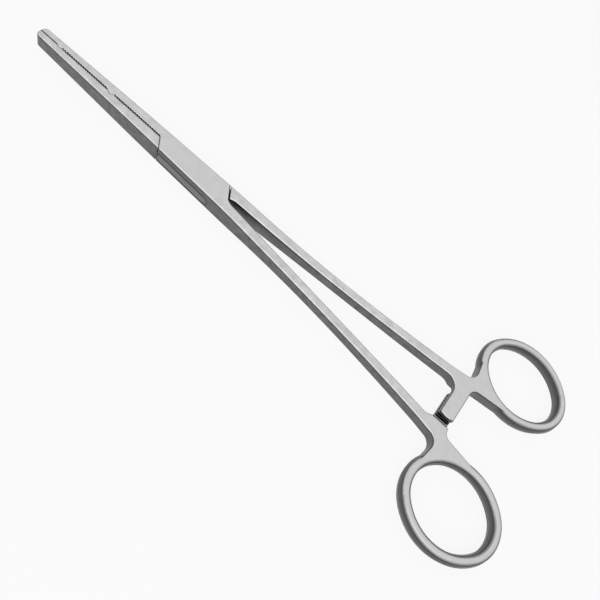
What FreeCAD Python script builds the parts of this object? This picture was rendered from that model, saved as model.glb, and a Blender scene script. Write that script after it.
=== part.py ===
import FreeCAD, Part
import math
import os

# Straight hysterectomy forceps, a long toothed ring handled clamp with a box lock.
# Two forged halves cross in the lock: the male half passes through a slot in the female half,
# and a flush riveted pin is the pivot. A ratchet on the handles holds the jaws closed.
# Frame: origin on the pivot axis at the level of the lock's lower face, +X to the jaw tips,
# +Y to the side of the female half's finger ring, +Z up. Millimetres.

Vector = FreeCAD.Vector
UP = Vector(0, 0, 1)

# Reach along the axis, from the pivot
jaw_reach = 62.6
lock_half_length = 13.75
arm_reach = 101.5
arm_width = 4.9
shank_end_ahead = 4.3

# Thickness, even above and below the middle plane
lock_thickness = 6.3
jaw_tip_thickness = 4.5
shank_thickness = 4.0
web_thickness = 4.4
jaw_blend_length = 8.0
slim_start = 59.4
slimming_turn_share = 0.12
mid_z = lock_thickness / 2

# Plan widths of the closed jaws and lock
lock_half_width = 3.47
side_taper = 0.0284
tip_corner_radius = 1.5
lock_step_setback = 2.7
edge_round = 0.5

# Shanks
shank_spread = 10.85
shank_waist = 2.8
shank_waist_share = 0.45
shank_end_width = 3.2
notch_length = 2.7
notch_half_gap = 0.95

# Finger rings, as an oval of four arcs, their crests ground level with the web
ring_half_length = 14.9
ring_half_width = 12.7
ring_end_radius = 10.8
ring_tilt = 1.4
ring_bar_width = 3.5
ring_crest_width = 1.0
ring_shoulder_drop = 0.55
ring_shoulder_inset = 0.45
ring_behind_arm = 2.65
ring_beside_shank = 1.0

# Web between shank, ratchet arm and ring
outer_crotch_behind_arm = 3.9
outer_crotch_beside_shank = 1.45
inner_crotch_beside_shank = 1.65
outer_join_angle = -9.0
inner_join_angle = -100.0
join_offset = 0.5
outer_crotch_radius = 3.2
inner_crotch_radius = 2.5
arm_corner_radius = 3.9
arm_corner_beside_shank = 0.4

# Box lock
lower_plate = 1.0
tongue_thickness = 2.6
lock_clearance = 0.08
front_step_gap = 0.20
rear_step_gap = 0.40
slot_end_x = 9.5
slot_end_round_share = 0.4
root_clearance = 0.1
pin_radius = 1.6
pin_clearance = 0.05

# Jaw faces
closed_gap = 0.10
serration_gap = 0.38
serration_pitch = 0.9
serration_height = 0.5
front_tooth_setback = 7.8
front_tooth_base = 1.8
front_tooth_height = 0.45
rear_tooth_setback = 28.9
rear_tooth_front = 1.7
rear_tooth_back = 1.1
rear_tooth_height = 0.8

# Ratchet
arm_tip_past_axis = 4.0
arm_tip_bulge = 0.5
arm_step_inside_shank = 0.55
ratchet_gap = 0.10
ratchet_pitch = 1.1
ratchet_depth = 0.6

# Places worked out from the sizes above
arm_front_x = -arm_reach
arm_rear_x = arm_front_x - arm_width
shank_end_x = arm_front_x + shank_end_ahead
shank_inner_end = shank_spread - shank_end_width
arm_corner_y = shank_inner_end + arm_corner_beside_shank
arm_step_y = shank_inner_end - arm_step_inside_shank
inner_crotch_y = shank_inner_end + inner_crotch_beside_shank
outer_crotch = Vector(arm_front_x - outer_crotch_behind_arm, shank_spread + outer_crotch_beside_shank, 0)
ring_x = arm_front_x - ring_behind_arm - ring_half_length
ring_y = shank_spread + ring_beside_shank + ring_half_width
slot_end_round = slot_end_round_share * tongue_thickness
slot_floor = lower_plate
slot_roof = lower_plate + tongue_thickness + 2 * lock_clearance
beyond = lock_thickness
far = 2 * lock_thickness
touch = 0.01


def side_half_width(x):
    """Straight outer edge that runs from the jaw tip along the lock."""
    return lock_half_width + side_taper * (lock_half_length - x)


def line(a, b):
    return Part.LineSegment(a, b).toShape()


def arc(a, b, c):
    return Part.Arc(a, b, c).toShape()


def tangent_arc(start, direction, end):
    """Arc from start, leaving along direction, to end."""
    chord = end - start
    square = direction.cross(direction.cross(chord)).normalize() * -1
    radius = chord.Length ** 2 / (2 * chord.dot(square))
    centre = start + square * radius
    middle = (start + end) * 0.5 - centre
    return arc(start, centre + middle.normalize() * abs(radius), end)


def prism(points, low, high):
    """Upright block over a plan polygon."""
    closed = [Vector(p[0], p[1], low) for p in points]
    closed.append(closed[0])
    return Part.Face(Part.makePolygon(closed)).extrude(UP * (high - low))


def jaw_line():
    """Parting line from the lock to the tip, as x, offset toward +Y and gap."""
    def serrations(start, end):
        count = round((end - start) / serration_pitch)
        step = (end - start) / count
        points = []
        for i in range(count):
            points.append((start + (i + 0.25) * step, serration_height / 2, serration_gap))
            points.append((start + (i + 0.75) * step, -serration_height / 2, serration_gap))
        return points

    front_tooth_x = jaw_reach - front_tooth_setback
    rear_tooth_x = jaw_reach - rear_tooth_setback
    rear_tooth_start = rear_tooth_x - rear_tooth_back
    rear_tooth_end = rear_tooth_x + rear_tooth_front
    front_tooth_start = front_tooth_x - front_tooth_base / 2
    front_tooth_end = front_tooth_x + front_tooth_base / 2
    points = [(lock_half_length, 0, closed_gap)]
    points += serrations(lock_half_length + closed_gap, rear_tooth_start - closed_gap)
    points.append((rear_tooth_start, 0, closed_gap))
    points.append((rear_tooth_x, rear_tooth_height, closed_gap))
    points.append((rear_tooth_end, 0, closed_gap))
    points += serrations(rear_tooth_end + closed_gap, front_tooth_start - closed_gap)
    points.append((front_tooth_start, 0, closed_gap))
    points.append((front_tooth_x, front_tooth_height, closed_gap))
    points.append((front_tooth_end, 0, closed_gap))
    return points


def ring_point(angle, offset):
    """Point on the ring's oval, offset outward, before it is mirrored to its side."""
    turn = math.radians(angle)
    x = (ring_half_length + offset) * math.cos(turn)
    y = (ring_half_width + offset) * math.sin(turn)
    tilt = math.radians(ring_tilt)
    return Vector(
        ring_x + x * math.cos(tilt) - y * math.sin(tilt),
        ring_y + x * math.sin(tilt) + y * math.cos(tilt),
        0,
    )


def half_outline(side):
    """Plan outline of one half from jaw tip to finger ring.

    The jaw lies on -side of the axis and the shank on +side.
    """
    def at(x, y, z=0):
        return Vector(x, side * y, z)

    edges = []

    # Jaw face from the lock to the tip
    face = [at(x, -gap / 2 + side * y) for x, y, gap in jaw_line()]
    face.append(at(jaw_reach, -closed_gap / 2))
    for a, b in zip(face, face[1:]):
        edges.append(line(a, b))

    # Tip, outer edge of jaw and lock, then the rear step across to the axis
    tip_corner = at(jaw_reach, -side_half_width(jaw_reach))
    rear_x = -(lock_half_length - lock_step_setback)
    rear_corner = at(rear_x, -side_half_width(rear_x))
    heel = at(-lock_half_length, 0)
    edges.append(line(face[-1], tip_corner))
    edges.append(line(tip_corner, rear_corner))
    edges.append(line(rear_corner, heel))

    # Outer and inner edge of the shank, slimmest at its waist, and the notch behind the lock
    lock_rear = at(-lock_half_length, side_half_width(-lock_half_length))
    shank_end = at(shank_end_x, shank_spread)
    outer_edge = tangent_arc(lock_rear, Vector(-1, side * side_taper, 0), shank_end)
    waist_x = -lock_half_length + shank_waist_share * (shank_end_x + lock_half_length)
    waist_outer = off_axis(outer_edge, waist_x)
    notch = at(-lock_half_length - notch_length, notch_half_gap)
    inner_end = at(shank_end_x, shank_inner_end)
    inner_edge = arc(notch, at(waist_x, waist_outer - shank_waist), inner_end)
    edges.append(outer_edge)
    edges.append(inner_edge)
    edges.append(tangent_arc(notch, inner_edge.tangentAt(inner_edge.FirstParameter) * -1, heel))

    # Ratchet arm, web and the wedge that ends inside the finger ring
    corner = at(arm_front_x, arm_corner_y)
    arm_tip_front = at(arm_front_x, -arm_tip_past_axis)
    arm_tip_middle = at((arm_front_x + arm_rear_x) / 2, -arm_tip_past_axis - arm_tip_bulge)
    arm_tip_rear = at(arm_rear_x, -arm_tip_past_axis)
    inner_crotch = at(arm_rear_x, inner_crotch_y)
    inner_join = ring_point(inner_join_angle, join_offset)
    outer_join = ring_point(outer_join_angle, join_offset)
    edges.append(line(inner_end, corner))
    edges.append(line(corner, arm_tip_front))
    edges.append(arc(arm_tip_front, arm_tip_middle, arm_tip_rear))
    edges.append(line(arm_tip_rear, inner_crotch))
    edges.append(line(inner_crotch, at(inner_join.x, inner_join.y)))
    edges.append(line(at(inner_join.x, inner_join.y), at(ring_x, ring_y)))
    edges.append(line(at(ring_x, ring_y), at(outer_join.x, outer_join.y)))
    edges.append(line(at(outer_join.x, outer_join.y), at(outer_crotch.x, outer_crotch.y)))
    edges.append(line(at(outer_crotch.x, outer_crotch.y), shank_end))

    # The lock's other side and the front step
    front_x = lock_half_length - lock_step_setback
    front_corner = at(front_x, side_half_width(front_x))
    edges.append(line(lock_rear, front_corner))
    edges.append(line(front_corner, face[0]))
    return Part.Face(Part.Wire(Part.__sortEdges__(edges)))


def off_axis(edge, x):
    """Distance from the axis at which a plan curve crosses x."""
    across = line(Vector(x, -ring_y, 0), Vector(x, ring_y, 0))
    return abs(edge.distToShape(across)[1][0][0].y)


def side_profile():
    """Block whose height follows the instrument: thick lock, slimmer tips and shanks."""
    side_reach = ring_y + ring_half_width + beyond
    tip_x = jaw_reach + beyond
    end_x = ring_x - ring_half_length
    lock = lock_thickness / 2
    slim = shank_thickness / 2
    web = web_thickness / 2

    # The taper of the jaws leaves the lock's flat by a short arc, then runs straight
    taper_run = jaw_reach - lock_half_length - jaw_blend_length / 2
    jaw_slope = (lock - jaw_tip_thickness / 2) / taper_run
    blend_x = lock_half_length + jaw_blend_length
    blend = lock - jaw_slope * jaw_blend_length / 2
    tip = blend - jaw_slope * (tip_x - blend_x)

    def face(sign):
        def at(x, half):
            return Vector(x, -side_reach, mid_z + sign * half)

        def level_blend(start, end, share):
            meet = start + (end - start) * share
            level = Vector(1, 0, 0)
            return [tangent_arc(start, level * -1, meet), tangent_arc(end, level, meet)]

        edges = [
            line(at(tip_x, tip), at(blend_x, blend)),
            tangent_arc(at(lock_half_length, lock), Vector(1, 0, 0), at(blend_x, blend)),
            line(at(lock_half_length, lock), at(-lock_half_length, lock)),
            line(at(shank_end_x, web), at(end_x, web)),
        ]
        slimmest = at(-slim_start, slim)
        edges += level_blend(at(-lock_half_length, lock), slimmest, slimming_turn_share)
        edges += level_blend(slimmest, at(shank_end_x, web), 0.5)
        return edges, at(tip_x, tip), at(end_x, web)

    upper, upper_tip, upper_end = face(1)
    lower, lower_tip, lower_end = face(-1)
    edges = upper + lower + [line(upper_tip, lower_tip), line(upper_end, lower_end)]
    outline = Part.Face(Part.Wire(Part.__sortEdges__(edges)))
    return outline.extrude(Vector(0, 2 * side_reach, 0))


def upright_edges(solid, spots):
    """Vertical edges of a prism at the given plan points."""
    found = []
    for edge in solid.Edges:
        ends = [v.Point for v in edge.Vertexes]
        if len(ends) != 2 or abs(ends[0].z - ends[1].z) < 1:
            continue
        for spot in spots:
            if math.hypot(ends[0].x - spot.x, ends[0].y - spot.y) < touch:
                found.append(edge)
    return found


def blank(side):
    """One half at full height, with rounded long edges, before lock and ratchet are cut."""
    solid = half_outline(side).extrude(UP * lock_thickness)
    corners = [
        (Vector(jaw_reach, -side * side_half_width(jaw_reach), 0), tip_corner_radius),
        (Vector(arm_front_x, side * arm_corner_y, 0), arm_corner_radius),
        (Vector(arm_rear_x, side * inner_crotch_y, 0), inner_crotch_radius),
        (Vector(outer_crotch.x, side * outer_crotch.y, 0), outer_crotch_radius),
    ]
    for spot, radius in corners:
        solid = solid.makeFillet(radius, upright_edges(solid, [spot]))
    solid = solid.common(side_profile())
    return solid.makeFillet(edge_round, long_edges(solid, side))


def long_edges(solid, side):
    """Upper and lower edges of the outline, without the jaw face, lock steps and ring wedge."""
    chosen = []
    for edge in solid.Edges:
        middle = edge.valueAt((edge.FirstParameter + edge.LastParameter) / 2)
        ends = [v.Point for v in edge.Vertexes]
        if len(ends) == 2 and math.hypot(ends[0].x - ends[1].x, ends[0].y - ends[1].y) < touch:
            continue
        if is_seam(edge, solid):
            continue
        past_lock = lock_half_length < middle.x < jaw_reach - touch
        on_jaw_face = past_lock and abs(middle.y) < rear_tooth_height + closed_gap
        on_axis = any(abs(e.y) < 2 * closed_gap for e in ends)
        on_step = on_axis and abs(middle.x) < lock_half_length
        inside_ring = any(math.hypot(e.x - ring_x, e.y - side * ring_y) < touch for e in ends)
        if not (on_jaw_face or on_step or inside_ring):
            chosen.append(edge)
    return chosen


def is_seam(edge, solid):
    """True for an edge between two faces that both look up or both look down."""
    faces = [f for f in solid.Faces if any(edge.isSame(e) for e in f.Edges)]
    if len(faces) != 2:
        return False
    tilts = []
    for face in faces:
        u0, u1, v0, v1 = face.ParameterRange
        tilts.append(abs(face.normalAt((u0 + u1) / 2, (v0 + v1) / 2).z))
    return min(tilts) > 0.7


def ring_path(side):
    """Middle line of the bar round one finger hole, an oval of four tangent arcs."""
    reach = ring_half_length - ring_end_radius
    side_radius = reach ** 2 + ring_half_width ** 2 - ring_end_radius ** 2
    side_radius /= 2 * (ring_half_width - ring_end_radius)
    meet = math.atan2(side_radius - ring_half_width, reach)
    join = reach + ring_end_radius * math.cos(meet)
    rise = ring_end_radius * math.sin(meet)
    tilt = math.radians(ring_tilt)

    def at(along, across):
        return Vector(
            ring_x + along * math.cos(tilt) - across * math.sin(tilt),
            side * (ring_y + along * math.sin(tilt) + across * math.cos(tilt)),
            mid_z,
        )

    return Part.Wire([
        arc(at(join, -rise), at(ring_half_length, 0), at(join, rise)),
        arc(at(join, rise), at(0, ring_half_width), at(-join, rise)),
        arc(at(-join, rise), at(-ring_half_length, 0), at(-join, -rise)),
        arc(at(-join, -rise), at(0, -ring_half_width), at(join, -rise)),
    ])


def bar_section():
    """Corners of the ring's bar, as up and out: flat crests, sloped shoulders, swelling flanks."""
    crest = web_thickness / 2
    flank = ring_bar_width / 2
    shoulder = (crest - ring_shoulder_drop, flank - ring_shoulder_inset)
    upper = [(crest, ring_crest_width / 2), shoulder, (0, flank)]
    outer = upper + [(-up, out) for up, out in reversed(upper[:2])]
    return outer + [(up, -out) for up, out in reversed(outer)]


def finger_ring(side):
    """Bar bent round into the finger ring, one bend for each arc of its path."""
    path = ring_path(side)
    start = path.Edges[0].valueAt(path.Edges[0].FirstParameter)
    outward = path.Edges[0].tangentAt(path.Edges[0].FirstParameter).cross(UP)
    corners = [start + UP * up + outward * out for up, out in bar_section()]
    bar = Part.Face(Part.makePolygon(corners + corners[:1]))
    bends = []
    for bend in path.Edges:
        centre = bend.Curve.Center
        turn = side * math.degrees(bend.Length / bend.Curve.Radius)
        bends.append(bar.revolve(centre, UP, turn))
        bar = bar.rotated(centre, UP, turn)
    return bends[0].fuse(bends[1:])


def ring_core(side):
    """Everything inside the middle line of the ring's bar."""
    core = Part.Face(ring_path(side)).extrude(UP * far)
    core.translate(UP * -beyond)
    return core


def step_lines():
    """Front and rear step of the lock as plan points, each moved outward by its gap."""
    x = lock_half_length - lock_step_setback
    front_lean = lock_step_setback / side_half_width(x)
    rear_lean = lock_step_setback / side_half_width(-x)
    front = lock_half_length + front_step_gap
    rear = -lock_half_length - rear_step_gap
    return [
        (front + front_lean * beyond, -beyond),
        (front - front_lean * far, far),
        (rear - rear_lean * beyond, beyond),
        (rear + rear_lean * far, -far),
    ]


def slot_tool(shrink, low, high):
    """Room of the lock's slot: open on both sides, closed at the two roots of the female half."""
    front = lock_half_length - shrink
    lean = (lock_half_length - slot_end_x) / side_half_width(slot_end_x)
    away = 3 * lock_half_length
    front_wall = [(front, 0), (front - lean * far, -far)]
    rear_wall = [(-front, 0), (-front + lean * far, far)]
    tool = prism(front_wall + [(-away, -far)] + rear_wall + [(away, far)], low, high)
    walls = [front_wall, rear_wall]
    rounded = [edge for edge in tool.Edges if any(lies_on(edge, wall) for wall in walls)]
    return tool.makeFillet(slot_end_round, rounded)


def lies_on(edge, plan_ends):
    """True for a level edge that runs between two plan points."""
    ends = [v.Point for v in edge.Vertexes]
    level = abs(ends[0].z - ends[1].z) < touch
    near = [
        any(math.hypot(end.x - x, end.y - y) < touch for x, y in plan_ends)
        for end in ends
    ]
    return level and all(near)


def cut_ratchet(half, side, upper):
    """Thin the arm to half of its height and cut the ratchet's teeth into the face that meets.

    The teeth are steep on the side that holds and sloped on the side that slips.
    """
    up = 1 if upper else -1
    face_z = mid_z + up * ratchet_gap / 2
    outside_z = mid_z - up * lock_thickness
    tip_y = -arm_tip_past_axis - arm_tip_bulge
    rear_x = arm_rear_x - beyond
    front_x = arm_front_x + arm_corner_radius + arm_corner_beside_shank
    room = prism(
        [
            (rear_x, side * arm_step_y),
            (front_x, side * arm_step_y),
            (front_x, side * (tip_y - beyond)),
            (rear_x, side * (tip_y - beyond)),
        ],
        min(face_z, outside_z),
        max(face_z, outside_z),
    )
    half = half.cut(room)
    count = int((arm_step_y - tip_y) / ratchet_pitch)
    for i in range(count):
        y = tip_y + i * ratchet_pitch
        outline = [
            Vector(rear_x, side * y, face_z - up * ratchet_gap),
            Vector(rear_x, side * y, face_z + up * ratchet_depth),
            Vector(rear_x, side * (y + ratchet_pitch), face_z),
            Vector(rear_x, side * (y + ratchet_pitch), face_z - up * ratchet_gap),
        ]
        outline.append(outline[0])
        valley = Part.Face(Part.makePolygon(outline)).extrude(Vector(front_x - rear_x, 0, 0))
        half = half.cut(valley)
    return half


def make_female():
    half = blank(1).cut(ring_core(1))
    half = half.cut(slot_tool(0, slot_floor, slot_roof))
    bore = Part.makeCylinder(pin_radius, lock_thickness)
    half = half.cut(bore)
    half = cut_ratchet(half, 1, upper=False)
    return half.fuse(finger_ring(1))


def make_male():
    half = blank(-1).cut(ring_core(-1))
    lock_room = prism(step_lines(), -beyond, lock_thickness + beyond)
    tongue_room = slot_tool(root_clearance, slot_floor + lock_clearance, slot_roof - lock_clearance)
    tongue = half.common(lock_room).common(tongue_room)
    half = half.cut(lock_room).fuse(tongue)
    half = half.cut(Part.makeCylinder(pin_radius + pin_clearance, lock_thickness))
    half = cut_ratchet(half, -1, upper=True)
    return half.fuse(finger_ring(-1))


def make_pin():
    return Part.makeCylinder(pin_radius, lock_thickness)


def one_solid(shape):
    """The single solid of a finished piece."""
    solids = shape.removeSplitter().Solids
    if len(solids) != 1:
        raise ValueError("expected one solid, got %d" % len(solids))
    return solids[0]


nodes = {
    "female_half": make_female,
    "male_half": make_male,
    "lock_pin": make_pin,
}

os.makedirs("parts", exist_ok=True)
for name, make in nodes.items():
    solid = one_solid(make())
    print(name, solid.isValid(), round(solid.Volume, 2), solid.BoundBox)
    solid.exportStep("parts/%s.step" % name)
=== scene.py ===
import math

import bpy
from mathutils import Matrix, Vector

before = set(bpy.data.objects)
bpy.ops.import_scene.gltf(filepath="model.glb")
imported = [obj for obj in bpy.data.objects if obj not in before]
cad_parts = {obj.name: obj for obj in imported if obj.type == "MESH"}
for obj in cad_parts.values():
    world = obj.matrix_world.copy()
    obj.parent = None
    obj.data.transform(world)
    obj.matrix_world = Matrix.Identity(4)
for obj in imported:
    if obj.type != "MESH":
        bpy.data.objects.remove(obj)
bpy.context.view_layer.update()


# Places and distances are in metres, in the instrument's own frame

# Camera, as the photograph was taken: from the female ring's side, tilted off the upright
camera_place = Vector((-0.05387, 0.10168, 0.15740))
camera_turn = math.radians(182.56)
camera_tilt = math.radians(31.47)
camera_roll = math.radians(40.25)
camera_lens = 37.1
camera_sensor = 36.0
nearest_seen = 0.005
furthest_seen = 20.0

# Reach of the part of the faces that is ground together with the rivet
rivet_zone = 0.0022

# The slot's opening in the lock's flank: middle, straight half lengths and corner radius
slot_middle = (0.0008, 0.0, 0.00238)
slot_straights = (0.0093, 0.0, 0.00034)
slot_round = 0.00104
# Its rim is left sharp, so the wear of the edges starts only this far outside it
sharp_rim = 0.0006

# The lock's end, and its rear step: direction square to the step and distance of its middle
lock_end = 0.0139
rear_step_across = (0.814, 0.581, 0.0)
rear_step_behind = 0.01136
# The rear step ends at the middle of the lock, give or take the width of its line
rear_step_inner_end = 0.0002

# The jaws' two large teeth along the instrument, and how far to each side one reaches
large_teeth = (0.0334, 0.0539)
tooth_reach = 0.0018

# Edges: width that tumbling and polishing round off, and width of the painted shade along them
worn_edge = 0.0008
edge_shade_width = 0.0016
edge_shade_slope = (0.02, 0.60)
edge_samples = 8

# How level the steel has to be to take the pale face colour and grinding lines, not the flanks'
# painted shade and blasting pits: on the jaws and shanks this reaches over the edges, on the rings
# only the crest
lit_face_on_shanks = 0.48
lit_face_on_rings = 0.75
lit_face_fade = 0.18
shanks_end = -0.100
rings_start = -0.106

# Steeper than this is a flank, flatter is a face
flank_limit = 0.5

# Where the mottling of the hand finish begins past the lock and ends before the webs
lock_to_shank = (0.010, 0.015)
shank_to_web = (0.090, 0.100)
ground_mottling = 0.3
even_tone = 0.5

# Painted shade in the gaps, drawn as dark lines: distance to the line's middle where it begins and
# where it is full, and how dark
slot_shade_fade = (0.00022, 0.00010)
slot_shade_darkness = 0.85
jaw_shade_fade = (0.00027, 0.00017)
jaw_shade_darkness = 0.8
step_shade_fade = (0.00036, 0.00026)
step_shade_darkness = 0.9

# Joints' painted shade: reach of the darkness from a mate, and how open a spot is when dark and when
# clear
joint_reach = 0.0008
joint_openness = (0.55, 0.96)
joint_samples = 8

# Sizes of the finish in millimetres, and how much coarser than real some are drawn to show
pit_width = 0.05
pit_coarseness = 5
line_spacing = 0.1
line_coarseness = 3
line_length_share = 0.03
cloud_width = 2.5
cloud_share = 0.65
contrast = (0.36, 0.64)
bump_height = 0.00002
bump_strength = 0.12
steel_roughness = (0.32, 0.40)

# Paper: width of its tooth in millimetres, and how much of its look is plain white; the rest
# keeps the instrument's shadow
paper_tooth = 1.0
paper_roughness = 0.9
paper_sheen = 0.1
white_share = 0.88

# Studio tent: brightness at the horizon and overhead, and the height where it is full, once
# for the light that falls on things and once for what the camera and the steel see of it
tent_light = (0.25, 0.55)
tent_light_top = 0.8
tent_seen = (0.75, 1.0)
tent_seen_top = 0.6

floor_reach = 3.0
lit_middle = (-0.04, 0.0, 0.0)
softboxes = {
    "back_softbox": {"place": (0.0, -0.45, 0.8), "size": (1.5, 0.9), "radiance": 0.10},
    "front_softbox": {"place": (-0.05, 0.60, 0.67), "size": (1.6, 0.80), "radiance": 0.9},
}


def make_camera():
    data = bpy.data.cameras.new("camera")
    data.sensor_width = camera_sensor
    data.lens = camera_lens
    data.clip_start = nearest_seen
    data.clip_end = furthest_seen
    camera = bpy.data.objects.new("camera", data)
    bpy.context.scene.collection.objects.link(camera)
    turned = (
        Matrix.Rotation(camera_turn, 4, "Z")
        @ Matrix.Rotation(camera_tilt, 4, "X")
        @ Matrix.Rotation(camera_roll, 4, "Z")
    )
    camera.matrix_world = Matrix.Translation(camera_place) @ turned
    bpy.context.scene.camera = camera


# Colours and nodes

def linear(hex_colour):
    """An sRGB hex colour as linear RGBA."""
    channels = [int(hex_colour[i:i + 2], 16) / 255 for i in (1, 3, 5)]
    bent = [c / 12.92 if c <= 0.04045 else ((c + 0.055) / 1.055) ** 2.4 for c in channels]
    return (*bent, 1.0)


def add(tree, kind, settings=None, links=None):
    """Adds a node with its settings and links; a name that isn't a setting is an input.

    Mix nodes number their inputs: 0 is the share, then come 2 and 3 for numbers, 4 and 5 for
    directions, and 6 and 7 for colours, whose outputs are 0, 1 and 2.
    """
    node = tree.nodes.new(kind)
    for name, value in (settings or {}).items():
        if isinstance(name, str) and hasattr(node, name):
            setattr(node, name, value)
        else:
            node.inputs[name].default_value = value
    for name, source in (links or {}).items():
        tree.links.new(source, node.inputs[name])
    return node


def new_material(name):
    material = bpy.data.materials.new(name)
    material.use_nodes = True
    material.node_tree.nodes.clear()
    return material, material.node_tree


def per_metre(millimetres):
    """How often a pattern of this size repeats in a metre."""
    return 1000.0 / millimetres


# Shape of the steel, as the finish has to know it

def away_from_rivet(tree, place):
    """1 away from the rivet, 0 on it.

    The rivet is ground off with the face round it, so nothing is rounded or dark at its rim.
    """
    level = add(
        tree,
        "ShaderNodeVectorMath",
        {"operation": "MULTIPLY", 1: (1.0, 1.0, 0.0)},
        {0: place},
    )
    from_pin = add(tree, "ShaderNodeVectorMath", {"operation": "LENGTH"}, {0: level.outputs[0]})
    away = add(
        tree,
        "ShaderNodeMath",
        {"operation": "GREATER_THAN", 1: rivet_zone},
        {0: from_pin.outputs["Value"]},
    )
    return away.outputs[0]


def distance_from_slot(tree, spot):
    """Distance outside the rim of the slot in the lock's flank, negative inside the slot.

    The opening is a rounded rectangle, the other way round on the instrument's other side.
    """
    side = add(tree, "ShaderNodeMath", {"operation": "SIGN"}, {0: spot["Y"]})
    forward = add(
        tree,
        "ShaderNodeMath",
        {"operation": "MULTIPLY"},
        {0: spot["X"], 1: side.outputs[0]},
    )
    past = add(tree, "ShaderNodeCombineXYZ", links={"X": forward.outputs[0], "Z": spot["Z"]})
    for step in (
        {"operation": "SUBTRACT", 1: slot_middle},
        {"operation": "ABSOLUTE"},
        {"operation": "SUBTRACT", 1: slot_straights},
        {"operation": "MAXIMUM", 1: (0.0, 0.0, 0.0)},
    ):
        past = add(tree, "ShaderNodeVectorMath", step, {0: past.outputs[0]})
    from_corner = add(tree, "ShaderNodeVectorMath", {"operation": "LENGTH"}, {0: past.outputs[0]})
    from_rim = add(
        tree,
        "ShaderNodeMath",
        {"operation": "SUBTRACT", 1: slot_round},
        {0: from_corner.outputs["Value"]},
    )
    return from_rim.outputs[0]


def worn_direction(tree, off_rivet, from_slot):
    """Direction that the surface faces, with every open edge rounded off.

    Tumbling and the polishing wheel leave the edges so; the slot's rim stays sharp.
    """
    off_slot = add(
        tree,
        "ShaderNodeMath",
        {"operation": "GREATER_THAN", 1: sharp_rim},
        {0: from_slot},
    )
    open_edge = add(
        tree,
        "ShaderNodeMath",
        {"operation": "MULTIPLY"},
        {0: off_rivet, 1: off_slot.outputs[0]},
    )
    worn = add(tree, "ShaderNodeBevel", {"samples": edge_samples, "Radius": worn_edge})
    flat = add(tree, "ShaderNodeNewGeometry")
    outward = add(
        tree,
        "ShaderNodeMix",
        {"data_type": "VECTOR"},
        {0: open_edge.outputs[0], 4: flat.outputs["Normal"], 5: worn.outputs["Normal"]},
    )
    return outward.outputs[1]


def levelness(tree, direction):
    """1 for a surface that faces straight up or down on the instrument, 0 for an upright one."""
    turned = add(
        tree,
        "ShaderNodeVectorTransform",
        {"vector_type": "NORMAL", "convert_from": "WORLD", "convert_to": "OBJECT"},
        {"Vector": direction},
    )
    facing = add(tree, "ShaderNodeSeparateXYZ", links={0: turned.outputs["Vector"]})
    level = add(tree, "ShaderNodeMath", {"operation": "ABSOLUTE"}, {0: facing.outputs["Z"]})
    return level.outputs[0]


def ground_and_lit_faces(tree, spot, level):
    """1 on the pale faces with grinding lines, 0 on the flanks with painted shade and blasting pits.
    """
    begins = add(
        tree,
        "ShaderNodeMapRange",
        {
            "From Min": shanks_end,
            "From Max": rings_start,
            "To Min": lit_face_on_shanks,
            "To Max": lit_face_on_rings,
        },
        {"Value": spot["X"]},
    )
    full = add(tree, "ShaderNodeMath", {"operation": "ADD", 1: lit_face_fade}, {0: begins.outputs[0]})
    ground = add(
        tree,
        "ShaderNodeMapRange",
        {"interpolation_type": "SMOOTHSTEP"},
        {"Value": level, "From Min": begins.outputs[0], "From Max": full.outputs[0]},
    )
    return ground.outputs[0]


def shade_along_edges(tree):
    """1 at the edges, where the flanks' painted shade is darkest, down to 0 away from them."""
    rounded = add(tree, "ShaderNodeBevel", {"samples": edge_samples, "Radius": edge_shade_width})
    near = add(
        tree,
        "ShaderNodeMapRange",
        {
            "interpolation_type": "SMOOTHSTEP",
            "From Min": edge_shade_slope[0],
            "From Max": edge_shade_slope[1],
        },
        {"Value": levelness(tree, rounded.outputs["Normal"])},
    )
    return near.outputs[0]


# Marks of the finish

def blast_pits(tree, place):
    """Blasting leaves pits of about 0.05 mm, drawn five times as wide so that they show."""
    pits = add(
        tree,
        "ShaderNodeTexNoise",
        {"Scale": per_metre(pit_coarseness * pit_width), "Detail": 3.0, "Roughness": 0.6},
        {"Vector": place},
    )
    return pits.outputs["Fac"]


def belt_lines(tree, place):
    """Grinding along the instrument leaves lines 0.1 mm apart, drawn three times as far apart."""
    along = add(
        tree,
        "ShaderNodeMapping",
        {"Scale": (line_length_share, 1.0, 1.0)},
        {"Vector": place},
    )
    lines = add(
        tree,
        "ShaderNodeTexNoise",
        {"Scale": per_metre(line_coarseness * line_spacing), "Detail": 4.0, "Roughness": 0.55},
        {"Vector": along.outputs["Vector"]},
    )
    return lines.outputs["Fac"]


def hand_finished(tree, spot):
    """Share of the mottling left by forging, full on the jaws and shanks finished by hand.

    The lock and the webs are surface ground and keep little of it.
    """
    reach = add(tree, "ShaderNodeMath", {"operation": "ABSOLUTE"}, {0: spot["X"]})
    past_lock = add(
        tree,
        "ShaderNodeMapRange",
        {"From Min": lock_to_shank[0], "From Max": lock_to_shank[1], "To Min": ground_mottling},
        {"Value": reach.outputs[0]},
    )
    before_web = add(
        tree,
        "ShaderNodeMapRange",
        {
            "From Min": shank_to_web[0],
            "From Max": shank_to_web[1],
            "To Min": 1.0,
            "To Max": ground_mottling,
        },
        {"Value": reach.outputs[0]},
    )
    by_hand = add(
        tree,
        "ShaderNodeMath",
        {"operation": "MULTIPLY"},
        {0: past_lock.outputs[0], 1: before_web.outputs[0]},
    )
    return by_hand.outputs[0]


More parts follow.
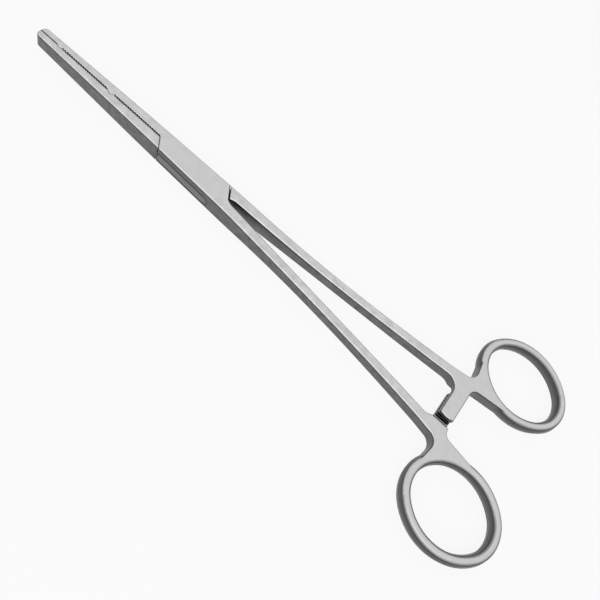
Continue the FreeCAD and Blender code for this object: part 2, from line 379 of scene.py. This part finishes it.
def mottled_tone(tree, place, spot, grain):
    """0 for the darkest steel and 1 for the palest, from the grain and soft polishing clouds."""
    clouds = add(
        tree,
        "ShaderNodeTexNoise",
        {"Scale": per_metre(cloud_width), "Detail": 4.0, "Roughness": 0.6},
        {"Vector": place},
    )
    mixed = add(
        tree,
        "ShaderNodeMix",
        {"data_type": "FLOAT", "Factor": cloud_share},
        {2: grain, 3: clouds.outputs["Fac"]},
    )
    uneven = add(
        tree,
        "ShaderNodeMapRange",
        {"From Min": contrast[0], "From Max": contrast[1]},
        {"Value": mixed.outputs[0]},
    )
    tone = add(
        tree,
        "ShaderNodeMix",
        {"data_type": "FLOAT", 2: even_tone},
        {0: hand_finished(tree, spot), 3: uneven.outputs[0]},
    )
    return tone.outputs[0]


# Painted shade in the narrow gaps between parts, 1 at the middle of each line

def slot_gap_shade(tree, from_slot):
    """Painted shade in the gap along the slot's rim."""
    distance = add(tree, "ShaderNodeMath", {"operation": "ABSOLUTE"}, {0: from_slot})
    slot_shade = add(
        tree,
        "ShaderNodeMapRange",
        {"From Min": slot_shade_fade[0], "From Max": slot_shade_fade[1], "To Max": slot_shade_darkness},
        {"Value": distance.outputs[0]},
    )
    return slot_shade.outputs[0]


def jaw_gap_shade(tree, spot):
    """Painted shade in the gap where the jaws meet, but not round the large teeth."""
    straight = add(
        tree,
        "ShaderNodeMath",
        {"operation": "GREATER_THAN", 1: lock_end},
        {0: spot["X"]},
    )
    for tooth_middle in large_teeth:
        at_tooth = add(
            tree,
            "ShaderNodeMath",
            {"operation": "COMPARE", 1: tooth_middle, 2: tooth_reach},
            {0: spot["X"]},
        )
        straight = add(
            tree,
            "ShaderNodeMath",
            {"operation": "SUBTRACT", "use_clamp": True},
            {0: straight.outputs[0], 1: at_tooth.outputs[0]},
        )
    distance = add(tree, "ShaderNodeMath", {"operation": "ABSOLUTE"}, {0: spot["Y"]})
    seam = add(
        tree,
        "ShaderNodeMapRange",
        {"From Min": jaw_shade_fade[0], "From Max": jaw_shade_fade[1], "To Max": jaw_shade_darkness},
        {"Value": distance.outputs[0]},
    )
    face_gap_shade = add(
        tree,
        "ShaderNodeMath",
        {"operation": "MULTIPLY"},
        {0: seam.outputs[0], 1: straight.outputs[0]},
    )
    return face_gap_shade.outputs[0]


def rear_step_shade(tree, place, spot):
    """Painted shade in the gap of the lock's rear step, which lies on the male ring's side."""
    across = add(
        tree,
        "ShaderNodeVectorMath",
        {"operation": "DOT_PRODUCT", 1: rear_step_across},
        {0: place},
    )
    ahead = add(
        tree,
        "ShaderNodeMath",
        {"operation": "ADD", 1: rear_step_behind},
        {0: across.outputs["Value"]},
    )
    distance = add(tree, "ShaderNodeMath", {"operation": "ABSOLUTE"}, {0: ahead.outputs[0]})
    step = add(
        tree,
        "ShaderNodeMapRange",
        {"From Min": step_shade_fade[0], "From Max": step_shade_fade[1], "To Max": step_shade_darkness},
        {"Value": distance.outputs[0]},
    )
    male_side = add(
        tree,
        "ShaderNodeMath",
        {"operation": "LESS_THAN", 1: rear_step_inner_end},
        {0: spot["Y"]},
    )
    face_gap_shade = add(
        tree,
        "ShaderNodeMath",
        {"operation": "MULTIPLY"},
        {0: step.outputs[0], 1: male_side.outputs[0]},
    )
    return face_gap_shade.outputs[0]


def painted_gap_shade(tree, place, spot, from_slot, flank):
    """Painted gap shade on the flanks and on the faces, whichever is darker."""
    face_gap_shade = add(
        tree,
        "ShaderNodeMath",
        {"operation": "MAXIMUM"},
        {0: jaw_gap_shade(tree, spot), 1: rear_step_shade(tree, place, spot)},
    )
    face = add(tree, "ShaderNodeMath", {"operation": "SUBTRACT", 0: 1.0}, {1: flank})
    on_flank = add(
        tree,
        "ShaderNodeMath",
        {"operation": "MULTIPLY"},
        {0: slot_gap_shade(tree, from_slot), 1: flank},
    )
    on_face = add(
        tree,
        "ShaderNodeMath",
        {"operation": "MULTIPLY"},
        {0: face_gap_shade.outputs[0], 1: face.outputs[0]},
    )
    lines = add(
        tree,
        "ShaderNodeMath",
        {"operation": "MAXIMUM"},
        {0: on_flank.outputs[0], 1: on_face.outputs[0]},
    )
    return lines.outputs[0]


def free_of_joint_shade(tree, off_rivet):
    """1 in the open, down to 0 in the painted shade on the joints' inner faces, within 0.8 mm of
    their mate.
    """
    shelter = add(
        tree,
        "ShaderNodeAmbientOcclusion",
        {"samples": joint_samples, "Distance": joint_reach},
    )
    lit = add(
        tree,
        "ShaderNodeMapRange",
        {
            "interpolation_type": "SMOOTHSTEP",
            "From Min": joint_openness[0],
            "From Max": joint_openness[1],
        },
        {"Value": shelter.outputs["AO"]},
    )
    on_rivet = add(tree, "ShaderNodeMath", {"operation": "SUBTRACT", 0: 1.0}, {1: off_rivet})
    clear = add(
        tree,
        "ShaderNodeMath",
        {"operation": "MAXIMUM"},
        {0: lit.outputs[0], 1: on_rivet.outputs[0]},
    )
    return clear.outputs[0]


# Materials

def steel_colour_with_painted_shade(tree, tone, ground):
    """Pale on the faces; dark grey painted shade on the flanks, darker painted shade along their
    edges.
    """
    face = add(
        tree,
        "ShaderNodeMix",
        {"data_type": "RGBA", 6: linear("#B6B6B6"), 7: linear("#D0D0CF")},
        {0: tone},
    )
    # Painted shade: the flanks take a darker copy of the face's steel colour
    flank = add(
        tree,
        "ShaderNodeMix",
        {"data_type": "RGBA", 6: linear("#585858"), 7: linear("#787877")},
        {0: tone},
    )
    # Painted shade, darker still along the flanks' edges
    edge_shaded = add(
        tree,
        "ShaderNodeMix",
        {"data_type": "RGBA", 7: linear("#4C4C4C")},
        {0: shade_along_edges(tree), 6: flank.outputs[2]},
    )
    colour = add(
        tree,
        "ShaderNodeMix",
        {"data_type": "RGBA"},
        {0: ground, 6: edge_shaded.outputs[2], 7: face.outputs[2]},
    )
    return colour.outputs[2]


def with_tongue(tree, colour, lines, from_slot, flank):
    """Adds the tongue's side, polished in streaks by sliding, where it shows in the slot."""
    in_slot = add(tree, "ShaderNodeMath", {"operation": "LESS_THAN", 1: 0.0}, {0: from_slot})
    tongue_side = add(
        tree,
        "ShaderNodeMath",
        {"operation": "MULTIPLY"},
        {0: in_slot.outputs[0], 1: flank},
    )
    streaks = add(
        tree,
        "ShaderNodeMix",
        {"data_type": "RGBA", 6: linear("#505050"), 7: linear("#989897")},
        {0: lines},
    )
    both = add(
        tree,
        "ShaderNodeMix",
        {"data_type": "RGBA"},
        {0: tongue_side.outputs[0], 6: colour, 7: streaks.outputs[2]},
    )
    return both.outputs[2]


def satin_stainless_steel():
    """Forged stainless steel: upper and lower faces belt ground, flanks glass-bead blasted.

    The faces look pale and even with a soft sheen; painted shade makes the flanks darker and duller,
    darkest where they round over into the faces, and nearly black down in the joints and gaps.
    """
    material, tree = new_material("satin_stainless_steel")
    place = add(tree, "ShaderNodeTexCoord").outputs["Object"]
    spot = add(tree, "ShaderNodeSeparateXYZ", links={0: place}).outputs
    off_rivet = away_from_rivet(tree, place)
    from_slot = distance_from_slot(tree, spot)
    outward = worn_direction(tree, off_rivet, from_slot)
    level = levelness(tree, outward)
    # 1 on the pale faces, 0 on the flanks in painted shade; it also picks grinding lines or blasting
    # pits
    ground = ground_and_lit_faces(tree, spot, level)
    flank = add(tree, "ShaderNodeMath", {"operation": "LESS_THAN", 1: flank_limit}, {0: level})

    lines = belt_lines(tree, place)
    grain = add(
        tree,
        "ShaderNodeMix",
        {"data_type": "FLOAT"},
        {0: ground, 2: blast_pits(tree, place), 3: lines},
    )
    tone = mottled_tone(tree, place, spot, grain.outputs[0])

    # Painted shade on the flanks, darker along their edges
    steel = steel_colour_with_painted_shade(tree, tone, ground)
    steel = with_tongue(tree, steel, lines, from_slot, flank.outputs[0])
    # Painted shade in the narrow gaps between parts, as near-black lines
    gap_shaded = add(
        tree,
        "ShaderNodeMix",
        {"data_type": "RGBA", 7: linear("#141414")},
        {0: painted_gap_shade(tree, place, spot, from_slot, flank.outputs[0]), 6: steel},
    )
    # Painted shade on the joints' inner faces, near black where a mate is close
    colour = add(
        tree,
        "ShaderNodeMix",
        {"data_type": "RGBA", 6: linear("#1C1C1D")},
        {0: free_of_joint_shade(tree, off_rivet), 7: gap_shaded.outputs[2]},
    )
    roughness = add(
        tree,
        "ShaderNodeMapRange",
        {"To Min": steel_roughness[0], "To Max": steel_roughness[1]},
        {"Value": tone},
    )
    bump = add(
        tree,
        "ShaderNodeBump",
        {"Strength": bump_strength, "Distance": bump_height},
        {"Height": grain.outputs[0], "Normal": outward},
    )
    shader = add(
        tree,
        "ShaderNodeBsdfPrincipled",
        {"Metallic": 1.0},
        {
            "Base Color": colour.outputs[2],
            "Roughness": roughness.outputs[0],
            "Normal": bump.outputs["Normal"],
        },
    )
    add(tree, "ShaderNodeOutputMaterial", links={"Surface": shader.outputs[0]})
    return material


def seen_directly(tree):
    """1 for the camera and for reflections in the steel, 0 for the light that falls on things."""
    ray = add(tree, "ShaderNodeLightPath")
    seen = add(
        tree,
        "ShaderNodeMath",
        {"operation": "MAXIMUM"},
        {0: ray.outputs["Is Camera Ray"], 1: ray.outputs["Is Glossy Ray"]},
    )
    seen = add(
        tree,
        "ShaderNodeMath",
        {"operation": "MAXIMUM"},
        {0: seen.outputs[0], 1: ray.outputs["Is Transmission Ray"]},
    )
    return seen.outputs[0]


def matte_paper():
    """White photographic paper, calendered matte: even and without a gloss, its tooth faint."""
    material, tree = new_material("matte_paper")
    place = add(tree, "ShaderNodeTexCoord")
    tooth = add(
        tree,
        "ShaderNodeTexNoise",
        {"Scale": per_metre(paper_tooth), "Detail": 2.0},
        {"Vector": place.outputs["Object"]},
    )
    colour = add(
        tree,
        "ShaderNodeMix",
        {"data_type": "RGBA", 6: linear("#F7F7F7"), 7: linear("#F9F9F9")},
        {0: tooth.outputs["Fac"]},
    )
    paper = add(
        tree,
        "ShaderNodeBsdfPrincipled",
        {"Roughness": paper_roughness, "Specular IOR Level": paper_sheen},
        {"Base Color": colour.outputs[2]},
    )
    # The camera and the steel's reflections see it mostly as plain white, with a faint shadow left
    white = add(tree, "ShaderNodeEmission", {"Color": linear("#FFFFFF"), "Strength": 1.0})
    share = add(
        tree,
        "ShaderNodeMath",
        {"operation": "MULTIPLY", 1: white_share},
        {0: seen_directly(tree)},
    )
    shader = add(
        tree,
        "ShaderNodeMixShader",
        links={0: share.outputs[0], 1: paper.outputs[0], 2: white.outputs[0]},
    )
    add(tree, "ShaderNodeOutputMaterial", links={"Surface": shader.outputs[0]})
    return material


# Studio

def make_floor():
    mesh = bpy.data.meshes.new("floor")
    r = floor_reach
    mesh.from_pydata([(-r, -r, 0), (r, -r, 0), (r, r, 0), (-r, r, 0)], [], [(0, 1, 2, 3)])
    floor = bpy.data.objects.new("floor", mesh)
    bpy.context.scene.collection.objects.link(floor)
    mesh.materials.append(matte_paper())


def make_sky():
    """Studio tent: pale light overhead, dimmer towards the horizon, seen white above."""
    world = bpy.data.worlds.new("room")
    bpy.context.scene.world = world
    world.use_nodes = True
    tree = world.node_tree
    tree.nodes.clear()
    place = add(tree, "ShaderNodeTexCoord")
    height = add(tree, "ShaderNodeSeparateXYZ", links={0: place.outputs["Generated"]})
    light, seen = [
        add(
            tree,
            "ShaderNodeMapRange",
            {"From Max": top, "To Min": horizon, "To Max": overhead},
            {"Value": height.outputs["Z"]},
        )
        for (horizon, overhead), top in (
            (tent_light, tent_light_top),
            (tent_seen, tent_seen_top),
        )
    ]
    strength = add(
        tree,
        "ShaderNodeMix",
        {"data_type": "FLOAT"},
        {0: seen_directly(tree), 2: light.outputs[0], 3: seen.outputs[0]},
    )
    sky = add(
        tree,
        "ShaderNodeBackground",
        {"Color": linear("#FFFFFF")},
        {"Strength": strength.outputs[0]},
    )
    add(tree, "ShaderNodeOutputWorld", links={"Surface": sky.outputs[0]})


def softbox(name, place, size, radiance):
    """Flat rectangular lamp of a given brightness, turned to the middle of the instrument."""
    data = bpy.data.lights.new(name, "AREA")
    data.shape = "RECTANGLE"
    data.size, data.size_y = size
    data.energy = radiance * math.pi * size[0] * size[1]
    lamp = bpy.data.objects.new(name, data)
    bpy.context.scene.collection.objects.link(lamp)
    lamp.location = place
    lamp.rotation_euler = (Vector(lit_middle) - Vector(place)).to_track_quat("-Z", "Y").to_euler()


make_camera()
make_sky()
for name, lamp in softboxes.items():
    softbox(name, **lamp)
make_floor()

steel = satin_stainless_steel()
for piece in ("female_half", "male_half", "lock_pin"):
    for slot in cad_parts[piece].material_slots:
        slot.material = steel

bpy.context.scene.view_settings.view_transform = "Standard"
